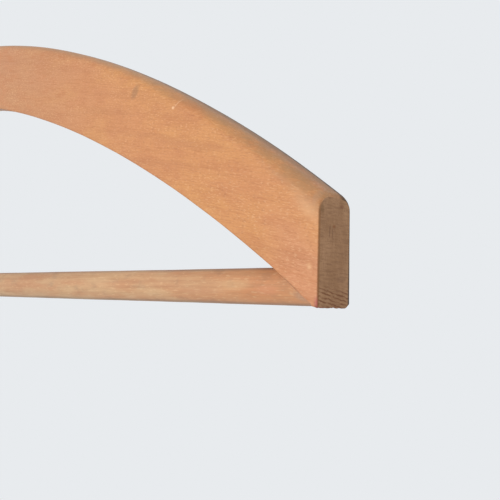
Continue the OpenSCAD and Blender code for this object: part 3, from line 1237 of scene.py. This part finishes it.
@dataclass
class TrouserBar:
    """The round bar between the two toes, turned by hand and eye and never quite true."""

    low: Vector
    high: Vector
    finish: BeechDowel
    ring_gap: float = 0.9 * MM
    sides: int = 72

    @property
    def radius(self) -> float:
        """Radius of the bar."""
        return (self.high.z - self.low.z) / 2

    @property
    def axis_z(self) -> float:
        """Height of the bar's axis."""
        return (self.high.z + self.low.z) / 2

    def tree(self, material: bpy.types.Material) -> bpy.types.NodeTree:
        """The group that wraps a round skin, slightly out of true, about the bar's axis."""
        tree = group_tree("turned_dowel", {"Radius": 0.005, "Unevenness": 0.00005, "Ripple length": 0.03})
        given = tree.nodes["in"].outputs
        circle = add_node(
            tree, "GeometryNodeCurvePrimitiveCircle", {"Resolution": self.sides, "Radius": given["Radius"]}
        )
        skin = add_node(
            tree,
            "GeometryNodeCurveToMesh",
            {"Curve": given["Geometry"], "Profile Curve": circle.outputs["Curve"], "Fill Caps": True},
        )
        place = add_node(tree, "GeometryNodeInputPosition").outputs[0]
        scale = add_node(tree, "ShaderNodeMath", {0: 1.0, 1: given["Ripple length"]}, operation="DIVIDE")
        wave = add_node(
            tree, "ShaderNodeTexNoise", {"Vector": place, "Scale": scale.outputs[0], "Detail": 2.0}
        )
        centred = add_node(tree, "ShaderNodeMath", {0: wave.outputs["Fac"], 1: 0.5}, operation="SUBTRACT")
        amount = add_node(
            tree, "ShaderNodeMath", {0: centred.outputs[0], 1: given["Unevenness"]}, operation="MULTIPLY"
        )
        normal = add_node(tree, "GeometryNodeInputNormal").outputs[0]
        push = add_node(
            tree, "ShaderNodeVectorMath", {0: normal, "Scale": amount.outputs[0]}, operation="SCALE"
        )
        moved = add_node(
            tree, "GeometryNodeSetPosition", {"Geometry": skin.outputs[0], "Offset": push.outputs[0]}
        )
        end_tree(tree, moved.outputs[0], material)
        return tree

    def build(self) -> bpy.types.Object:
        """Builds the bar, marks its seams and fixes it to the frame.

        Returns:
            The finished bar.
        """
        steps = int((self.high.x - self.low.x) / self.ring_gap)
        xs = np.linspace(self.low.x, self.high.x, steps)
        axis = polyline("trouser_bar_wood", [Vector((x, 0, self.axis_z)) for x in xs])
        material = self.finish.material(self.marks())
        sizes = {"Radius": self.radius, "Unevenness": 0.16 * MM, "Ripple length": 24 * MM}
        bar = run_tree(axis, self.tree(material), sizes)
        self.masks(bar.data)
        smooth(bar.data, 50)
        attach(bar, WOODEN_BODY)
        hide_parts("trouser_bar")
        return bar

    def masks(self, mesh: bpy.types.Mesh) -> None:
        """Stores the oil at both ends, and painted shade along the top and bottom with a faint darkening
        toward the middle.
        """
        co = coordinates(mesh)
        from_end, high = self.high.x - np.abs(co[:, 0]), (co[:, 2] - self.axis_z) / self.radius
        set_mask(mesh, "oiled", 0.70 * (1 - step(from_end, 10 * MM, 70 * MM)))
        # Painted shade: the round bar is darkened toward its top and bottom.
        uneven = 0.04 * ripple(co, (18 * MM, 6 * MM, 6 * MM), 9)
        edges = step(np.abs(high) + uneven, 0.78, 1.0)
        dull = 0.13 * step(from_end, 70 * MM, 170 * MM)
        set_mask(mesh, "grime_and_shade", np.maximum(0.50 * edges, dull))

    def marks(self) -> list[Mark]:
        """Worn patches on the dowel's front, beside the right arm, and a pale streak that is a painted
        highlight.
        """
        front = Vector((self.high.x, -self.radius, self.axis_z))
        places = [
            (-4.0, -2.6, 4.0, 2.2, "B08A72", 0.45, 0),
            (-6.5, -1.0, 2.6, 0.5, "C9A27C", 0.20, 60),
            (-5.0, -2.0, 2.6, 0.4, "C9A27C", 0.20, 50),
            (-17.0, -1.2, 6.0, 1.8, "CB8660", 0.40, 0),
            # A painted highlight: a pale streak along the upper middle of the front.
            (-30.0, 0.4, 9.0, 2.0, "D3A777", 0.40, 0),
            (-46.0, -1.6, 14.0, 1.4, "B98460", 0.35, 0),
        ]
        return [
            Mark(front + Vector((x * MM, 0, z * MM)), (long, 4, tall), colour, strength, turn)
            for x, z, long, tall, colour, strength, turn in places
        ]


# --------------------------------------------------------------------------- metal


@dataclass
class WireHook:
    """The question-mark hook: a straight shank, a neck, and a bend that ends in a round tip."""

    low: Vector
    high: Vector
    finish: DrawnNickelWire
    wire_radius: float = 2 * MM
    neck_radius: float = 10 * MM
    tip_slope: float = math.radians(20)
    head_radius: float = 3.5 * MM
    head_height: float = 2 * MM
    sides: int = 56

    @property
    def bend_radius(self) -> float:
        """Radius of the bend's centreline, whose centre is the origin."""
        return self.high.z - self.wire_radius

    def path(self) -> list[Vector]:
        """Centreline from the foot of the shank to the middle of the tip."""
        reach = self.bend_radius + self.neck_radius
        turn = math.acos(self.neck_radius / reach)
        neck_z = -reach * math.sin(turn)
        foot = self.low.z + self.head_height
        points = [Vector((0, 0, z)) for z in np.linspace(foot, neck_z, 24, endpoint=False)]
        for a in np.linspace(0, turn, 28, endpoint=False):
            x = -self.neck_radius + self.neck_radius * math.cos(a)
            points.append(Vector((x, 0, neck_z + self.neck_radius * math.sin(a))))
        for a in np.linspace(math.pi + turn, -self.tip_slope, 130):
            points.append(self.bend_radius * Vector((math.cos(a), 0, math.sin(a))))
        return points

    def tree(self, material: bpy.types.Material) -> bpy.types.NodeTree:
        """The group that draws round wire along the hook's centreline."""
        tree = group_tree("drawn_wire", {"Wire radius": 0.002})
        given = tree.nodes["in"].outputs
        circle = add_node(
            tree,
            "GeometryNodeCurvePrimitiveCircle",
            {"Resolution": self.sides, "Radius": given["Wire radius"]},
        )
        wire = add_node(
            tree,
            "GeometryNodeCurveToMesh",
            {
                "Curve": given["Geometry"],
                "Profile Curve": circle.outputs["Curve"],
                "Scale": add_node(tree, "GeometryNodeInputRadius").outputs[0],
                "Fill Caps": True,
            },
        )
        end_tree(tree, wire.outputs[0], material)
        return tree

    def build(self) -> bpy.types.Object:
        """Builds the hook with its rounded tip and riveted foot.

        Returns:
            The finished hook.
        """
        points = self.path()
        widths = [1.0] * len(points)
        # The tip: the wire closes over a quarter circle past its last point.
        ahead = (points[-1] - points[-2]).normalized()
        tip = points[-1]
        for a in np.radians([15, 30, 45, 58, 68, 76, 83, 88]):
            points.append(tip + ahead * (self.wire_radius * math.sin(a)))
            widths.append(math.cos(a))
        # The foot: upset into a shallow dome below the washer.
        foot = points[0].z
        profile = [(1.0, 0.15), (0.97, 0.55), (0.86, 1.15), (0.66, 1.6), (0.36, 1.9), (0.05, 2.0)]
        below = [Vector((0, 0, foot - depth * MM)) for _, depth in profile]
        below_widths = [share * self.head_radius / self.wire_radius for share, _ in profile]
        collar = [Vector((0, 0, foot + 0.02 * MM)), Vector((0, 0, foot - 0.01 * MM))]
        collar_widths = [1.0, 0.96 * self.head_radius / self.wire_radius]
        points = below[::-1] + collar[::-1] + points[1:]
        widths = below_widths[::-1] + collar_widths[::-1] + widths[1:]
        line = polyline("hook_wire", points)
        for point, width in zip(line.data.splines[0].points, widths):
            point.radius = width
        hook = run_tree(line, self.tree(self.finish.material()), {"Wire radius": self.wire_radius})
        smooth(hook.data, 42)
        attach(hook, HOOK_BODY)
        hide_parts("hook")
        return hook


def turned(name: str, profile: list[tuple[float, float]], sides: int = 96) -> bpy.types.Object:
    """A ring turned about the Z axis from a closed profile.

    Args:
        name: Object name.
        profile: Radius and height of each corner, anticlockwise seen with the axis on the left.
        sides: Steps round the ring.

    Returns:
        The object.
    """
    size = len(profile)
    points, faces = [], []
    for i in range(sides):
        a = 2 * math.pi * i / sides
        points += [(r * math.cos(a), r * math.sin(a), z) for r, z in profile]
        for j in range(size):
            k, n = (j + 1) % size, (i + 1) % sides
            faces.append((i * size + j, n * size + j, n * size + k, i * size + k))
    return make_object(name, np.array(points), faces)


@dataclass
class Fitting:
    """A small turned ring about the swivel axis: the ferrule on the crest or the hidden washer."""

    node: str
    finish: bpy.types.Material
    bore_radius: float = 2.06 * MM

    def rounded(self, corners: list[tuple[float, float]], radius: float) -> list[tuple[float, float]]:
        """Rounds each corner of a closed profile.

        Args:
            corners: Radius and height of each corner.
            radius: Rounding radius.

        Returns:
            The finer profile.
        """
        made = []
        for i, corner in enumerate(corners):
            here, before = Vector(corner), Vector(corners[i - 1])
            after = Vector(corners[(i + 1) % len(corners)])
            r = min(radius, (before - here).length / 2.2, (after - here).length / 2.2)
            start, end = here + (before - here).normalized() * r, here + (after - here).normalized() * r
            for t in (0.0, 0.33, 0.67, 1.0):
                made.append(tuple(start.lerp(here, t).lerp(here.lerp(end, t), t)))
        return made

    def corners(self) -> list[tuple[float, float]]:
        """The ring's profile, from its CAD box."""
        low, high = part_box(self.node)
        outer = (high.x - low.x) / 2
        return [(self.bore_radius, low.z), (outer, low.z), (outer, high.z), (self.bore_radius, high.z)]

    def build(self) -> bpy.types.Object:
        """Builds and dresses the ring.

        Returns:
            The finished fitting.
        """
        ring = turned(f"{self.node}_metal", self.rounded(self.corners(), 0.2 * MM))
        ring.data.materials.append(self.finish)
        smooth(ring.data, 50)
        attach(ring, WOODEN_BODY)
        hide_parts(self.node)
        return ring


@dataclass
class Ferrule(Fitting):
    """The flanged bush pressed into the crest: a domed flange over a plain spigot."""

    flange_height: float = 1.6 * MM
    spigot_radius: float = 3.5 * MM

    def corners(self) -> list[tuple[float, float]]:
        """The flanged profile, with its edge beaded and its mouth countersunk."""
        low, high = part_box(self.node)
        outer = (high.x - low.x) / 2
        seat = high.z - self.flange_height
        return [
            (self.bore_radius, low.z),
            (self.spigot_radius, low.z),
            (self.spigot_radius, seat),
            (outer, seat),
            (outer, seat + 0.7 * MM),
            (outer - 0.7 * MM, high.z - 0.25 * MM),
            (outer - 1.6 * MM, high.z),
            (self.bore_radius + 0.7 * MM, high.z),
            (self.bore_radius, high.z - 0.5 * MM),
        ]


@dataclass
class Brads:
    """The two brads that pin the bar, each with a flat, lightly hammered head."""

    finish: DullSteel
    shank_radius: float = 0.7 * MM
    head_height: float = 0.8 * MM
    sides: int = 28

    def tree(self, material: bpy.types.Material) -> bpy.types.NodeTree:
        """The group that sets a brad at each point, head at the back."""
        sizes = {"Shank radius": 0.7 * MM, "Head radius": 1.3 * MM, "Length": 9 * MM, "Head": 0.8 * MM}
        tree = group_tree("brads", sizes)
        given = tree.nodes["in"].outputs
        # The shank stops halfway into the head, so that their ends don't share a plane.
        short = add_node(tree, "ShaderNodeMath", {0: given["Head"], 1: 0.5}, operation="MULTIPLY")
        depth = add_node(
            tree, "ShaderNodeMath", {0: given["Length"], 1: short.outputs[0]}, operation="SUBTRACT"
        )
        cylinder = add_node(
            tree,
            "GeometryNodeMeshCylinder",
            {"Vertices": self.sides, "Radius": given["Shank radius"], "Depth": depth.outputs[0]},
        )
        drop = add_node(tree, "ShaderNodeMath", {0: given["Head"], 1: -0.25}, operation="MULTIPLY")
        down = add_node(tree, "ShaderNodeCombineXYZ", {"Z": drop.outputs[0]})
        shank = add_node(
            tree,
            "GeometryNodeTransform",
            {"Geometry": cylinder.outputs["Mesh"], "Translation": down.outputs[0]},
        )
        head = add_node(
            tree,
            "GeometryNodeMeshCone",
            {
                "Vertices": self.sides,
                "Side Segments": 4,
                "Fill Segments": 6,
                "Radius Top": given["Head radius"],
                "Radius Bottom": given["Shank radius"],
                "Depth": given["Head"],
            },
        )
        half = add_node(tree, "ShaderNodeMath", {0: given["Length"], 1: 0.5}, operation="MULTIPLY")
        lift = add_node(tree, "ShaderNodeMath", {0: half.outputs[0], 1: given["Head"]}, operation="SUBTRACT")
        offset = add_node(tree, "ShaderNodeCombineXYZ", {"Z": lift.outputs[0]})
        raised = add_node(
            tree,
            "GeometryNodeTransform",
            {"Geometry": head.outputs["Mesh"], "Translation": offset.outputs[0]},
        )
        joined = add_node(tree, "GeometryNodeJoinGeometry")
        tree.links.new(raised.outputs[0], joined.inputs[0])
        tree.links.new(shank.outputs[0], joined.inputs[0])
        turned_back = add_node(
            tree,
            "GeometryNodeTransform",
            {"Geometry": joined.outputs[0], "Rotation": (math.radians(-90), 0, 0)},
        )
        placed = add_node(
            tree,
            "GeometryNodeInstanceOnPoints",
            {"Points": given["Geometry"], "Instance": turned_back.outputs[0]},
        )
        end_tree(tree, placed.outputs[0], material)
        return tree

    def build(self) -> list[bpy.types.Object]:
        """Builds both brads.

        Returns:
            The left and the right brad.
        """
        made = []
        material = self.finish.material()
        tree = self.tree(material)
        for side in Side:
            node = f"{side.name.lower()}_brad"
            low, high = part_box(node)
            point = make_object(f"{node}_steel", np.array([(low + high) / 2]), [])
            sizes = {
                "Shank radius": self.shank_radius,
                "Head radius": (high.x - low.x) / 2,
                "Length": high.y - low.y,
                "Head": self.head_height,
            }
            brad = run_tree(point, tree, sizes)
            smooth(brad.data, 35)
            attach(brad, WOODEN_BODY)
            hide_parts(node)
            made.append(brad)
        return made


# --------------------------------------------------------------------------- studio


@dataclass(frozen=True)
class SoftLight:
    """A square soft light: where it stands from the hanger's end, its side and its power."""

    name: str
    place: Vector
    size: float
    watts: float


@dataclass
class Studio:
    """A pale floor well below the hanger, an even sky, soft lights and the camera."""

    end_corner: Vector
    sky: str = "E8EBEE"
    floor_drop: float = 0.35
    floor_radius: float = 0.85
    camera_mm: tuple[float, float, float] = (141.45, -150.1, 1.65)
    azimuth: float = math.radians(49.165)
    rise: float = math.radians(3.46)
    roll: float = math.radians(1.442)
    lens_mm: float = 59.5

    def build(self) -> None:
        """Sets everything that isn't part of the object."""
        bpy.context.scene.view_settings.view_transform = "Standard"
        self.air()
        self.floor()
        self.light(SoftLight("window", Vector((-0.45, -1.3, 0.12)), 1.1, 9))
        self.light(SoftLight("back_fill", Vector((0.9, 0.9, 0.5)), 0.8, 1))
        self.camera()

    def air(self) -> None:
        """An even, very pale sky."""
        world = bpy.data.worlds.new("sky")
        world.use_nodes = True
        world.node_tree.nodes.clear()
        glow = add_node(world.node_tree, "ShaderNodeBackground", {"Color": linear(self.sky), "Strength": 1.0})
        add_node(world.node_tree, "ShaderNodeOutputWorld", {"Surface": glow.outputs[0]})
        bpy.context.scene.world = world

    def floor(self) -> None:
        """A round sheet of studio paper."""
        sides = 128
        angles = np.linspace(0, 2 * math.pi, sides, endpoint=False)
        z = self.end_corner.z - self.floor_drop
        rim = [(self.floor_radius * math.cos(a), self.floor_radius * math.sin(a), z) for a in angles]
        floor = make_object("floor", np.array(rim), [tuple(range(sides))])
        floor.data.materials.append(MattPaper("matt_studio_paper").material())
        floor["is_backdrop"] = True

    def light(self, soft: SoftLight) -> None:
        """Sets up one soft light, turned to the hanger's end.

        Args:
            soft: The light.
        """
        lamp = bpy.data.lights.new(soft.name, "AREA")
        lamp.size, lamp.energy = soft.size, soft.watts
        obj = bpy.data.objects.new(soft.name, lamp)
        target = self.end_corner + Vector((-0.08, 0, 0.04))
        obj.location = target + soft.place
        obj.rotation_euler = (-soft.place).to_track_quat("-Z", "Y").to_euler()
        bpy.context.scene.collection.objects.link(obj)

    def camera(self) -> None:
        """A close camera level with the toe, looking along the hanger and slightly up."""
        flat = math.cos(self.rise)
        forward = Vector(
            (-math.sin(self.azimuth) * flat, math.cos(self.azimuth) * flat, math.sin(self.rise))
        )
        level = Vector((math.cos(self.azimuth), math.sin(self.azimuth), 0))
        up = level.cross(forward)
        right = level * math.cos(self.roll) + up * math.sin(self.roll)
        top = up * math.cos(self.roll) - level * math.sin(self.roll)
        data = bpy.data.cameras.new("camera")
        data.lens = self.lens_mm
        data.clip_start, data.clip_end = 0.01, 30
        camera = bpy.data.objects.new("camera", data)
        place = self.end_corner + Vector(self.camera_mm) * MM
        turn = Matrix((right, top, -forward)).transposed().to_4x4()
        camera.matrix_world = Matrix.Translation(place) @ turn
        bpy.context.scene.collection.objects.link(camera)
        bpy.context.scene.camera = camera


# --------------------------------------------------------------------------- the whole hanger


def main() -> None:
    """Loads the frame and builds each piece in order."""
    logging.basicConfig(level=logging.INFO, format="%(name)s: %(message)s")
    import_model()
    cad_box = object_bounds()
    bar_low, bar_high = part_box("trouser_bar")
    toe_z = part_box("right_arm")[0].z
    for side in Side:
        name = side.name.lower()
        low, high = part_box(f"{name}_arm")
        arm = Arm(
            side=side,
            low=low,
            high=high,
            bar_radius=(bar_high.z - bar_low.z) / 2,
            bar_axis_z=(bar_high.z + bar_low.z) / 2,
            bar_end=bar_high.x,
            grain=AgedBeech(f"aged_oiled_beech_{name}", -11 * side.value, (40 * side.value, 7, 0)),
            end_grain=BeechEndGrain(f"sawn_beech_end_grain_{name}", toe_z),
        )
        obj = arm.build()
        LOG.info("%s: %d faces", obj.name, len(obj.data.polygons))
    bar = TrouserBar(bar_low, bar_high, BeechDowel("bare_beech_dowel")).build()
    LOG.info("%s: %d faces", bar.name, len(bar.data.polygons))
    hook_low, hook_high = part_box("hook")
    hook = WireHook(hook_low, hook_high, DrawnNickelWire("drawn_nickel_plated_wire")).build()
    LOG.info("%s: %d faces", hook.name, len(hook.data.polygons))
    nickel = TurnedNickel("turned_nickel_plated_steel").material()
    for fitting in (Ferrule("hook_ferrule", nickel), Fitting("hook_washer", nickel)):
        obj = fitting.build()
        LOG.info("%s: %d faces", obj.name, len(obj.data.polygons))
    for obj in Brads(DullSteel("bare_steel_brad")).build():
        LOG.info("%s: %d faces", obj.name, len(obj.data.polygons))
    Studio(Vector((cad_box[1][0], 0, toe_z))).build()


if __name__ == "__main__":
    main()
